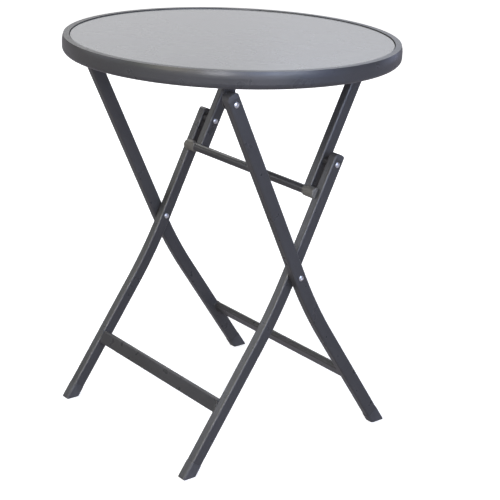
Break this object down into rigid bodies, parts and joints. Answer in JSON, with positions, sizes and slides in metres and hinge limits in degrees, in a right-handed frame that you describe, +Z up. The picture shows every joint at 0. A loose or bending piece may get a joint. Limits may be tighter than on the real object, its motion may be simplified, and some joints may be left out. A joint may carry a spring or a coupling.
{
  "type": "folding bistro table",
  "caption": "Round folding bistro table: an inset panel in a metal rim on a crossed-leg frame that folds flat with a hinged strut.",
  "frame": {"origin": "on the floor under the middle of the round top, at the centre of the underside of the bounding box", "axes": "+Z up, X along the hinge pins, Y along the splay of the legs; the inner legs' feet are at -Y and the outer legs' feet at +Y"},
  "size_m": [0.5999, 0.6, 0.72],
  "materials": {
    "powder_coat": "anthracite powder coat, satin with a fine texture",
    "mottled_glass": "tempered panel with a pale grey mottled print, gloss surface",
    "dark_plastic": "moulded, fine texture",
    "grey_plastic": "moulded, fine texture",
    "zinc_hardware": "zinc plated, bright",
    "rubber": "matt"
  },
  "bodies": {
    "tabletop": {"rim_frame": "powder_coat", "glass_ledge": "powder_coat", "glass_panel": "mottled_glass", "glass_seal": "rubber", "glass_pads": "rubber", "front_rail": "powder_coat", "rear_rail": "powder_coat", "front_ears": "powder_coat", "rear_ears": "powder_coat", "front_hinge_pins": "zinc_hardware", "rear_hinge_pins": "zinc_hardware", "front_washers": "zinc_hardware", "rear_washers": "zinc_hardware"},
    "outer_legs": {"outer_leg_left": "powder_coat", "outer_leg_right": "powder_coat", "outer_stretcher": "powder_coat", "outer_feet": "dark_plastic", "outer_plugs": "dark_plastic"},
    "inner_legs": {"inner_leg_left": "powder_coat", "inner_leg_right": "powder_coat", "inner_stretcher": "powder_coat", "inner_feet": "dark_plastic", "inner_plugs": "dark_plastic", "crossing_pins": "zinc_hardware", "crossing_washers": "grey_plastic", "knee_screws": "zinc_hardware", "knee_spacers": "grey_plastic"},
    "fold_strut": {"strut_left": "powder_coat", "strut_right": "powder_coat", "strut_cross_tube": "powder_coat", "strut_plugs": "dark_plastic", "stop_bumpers": "grey_plastic", "knee_caps": "zinc_hardware"}
  },
  "joints": [
    {"name": "outer_leg_fold", "type": "hinge", "parent": "tabletop", "child": "outer_legs", "pos_m": [0, -0.16184, 0.66074], "axis": [1, 0, 0], "range_deg": [0, 64.5]},
    {"name": "leg_cross_pivot", "type": "hinge", "parent": "outer_legs", "child": "inner_legs", "pos_m": [0, -0.006, 0.334], "axis": [1, 0, 0], "range_deg": [0, 51.1]},
    {"name": "strut_fold", "type": "hinge", "parent": "tabletop", "child": "fold_strut", "pos_m": [0, 0.14985, 0.66074], "axis": [1, 0, 0], "range_deg": [-64.7, 0]}
  ],
  "couplings": [
    {"joint": "leg_cross_pivot", "follows": "outer_leg_fold", "ratio": 0.7907},
    {"joint": "strut_fold", "follows": "outer_leg_fold", "ratio": -1}
  ]
}
